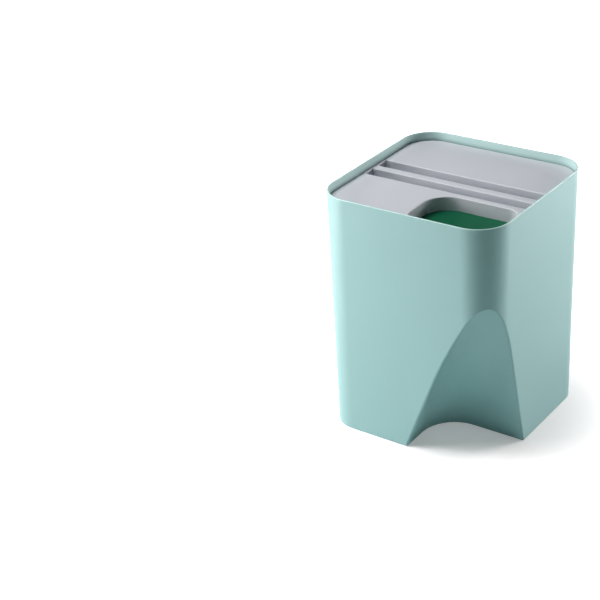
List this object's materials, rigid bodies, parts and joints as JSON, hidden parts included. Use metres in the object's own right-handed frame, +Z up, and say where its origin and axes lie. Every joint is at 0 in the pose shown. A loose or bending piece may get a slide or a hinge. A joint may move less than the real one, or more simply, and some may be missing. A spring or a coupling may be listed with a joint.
{
  "type": "stackable recycling bin",
  "caption": "Square tapered plastic bin with a scooped front corner, a sunk lift-off lid with grip bar, and a sprung flap under a drop hole.",
  "frame": {"origin": "centre of the base on the floor", "axes": "+Z up, -Y the front face, +X the right-hand side; the scoop and the drop hole are in the corner of +X and -Y"},
  "size_m": [0.3, 0.3, 0.397],
  "materials": {
    "shell_plastic": "satin moulded polypropylene",
    "lid_plastic": "satin moulded polypropylene",
    "flap_plastic": "satin moulded polypropylene",
    "ring_plastic": "satin moulded polypropylene",
    "pad_rubber": "matt soft rubber",
    "steel": "plain drawn wire"
  },
  "bodies": {
    "tub": {"bin_shell": "shell_plastic", "foot_pad_rear_left": "pad_rubber", "foot_pad_rear_right": "pad_rubber", "foot_pad_front_left": "pad_rubber", "foot_pad_front_tip": "pad_rubber", "foot_pad_side_tip": "pad_rubber"},
    "ring": {"bag_ring": "ring_plastic"},
    "lid": {"lid_panel": "lid_plastic", "flap_hinge_pin": "steel", "pin_retaining_clip": "steel", "flap_spring": "steel"},
    "flap": {"sorting_flap": "flap_plastic"}
  },
  "joints": [
    {"name": "ring_lift", "type": "slide", "parent": "tub", "child": "ring", "axis": [0, 0, 1], "range_m": [0, 0.12]},
    {"name": "lid_lift", "type": "slide", "parent": "ring", "child": "lid", "axis": [0, 0, 1], "range_m": [0, 0.12]},
    {"name": "flap_push", "type": "hinge", "parent": "lid", "child": "flap", "pos_m": [0.06345, -0.02834, 0.3572], "axis": [1, 0, 0], "range_deg": [0, 75], "stiffness_Nm_per_rad": 0.03, "springref_deg": -114.59}
  ]
}
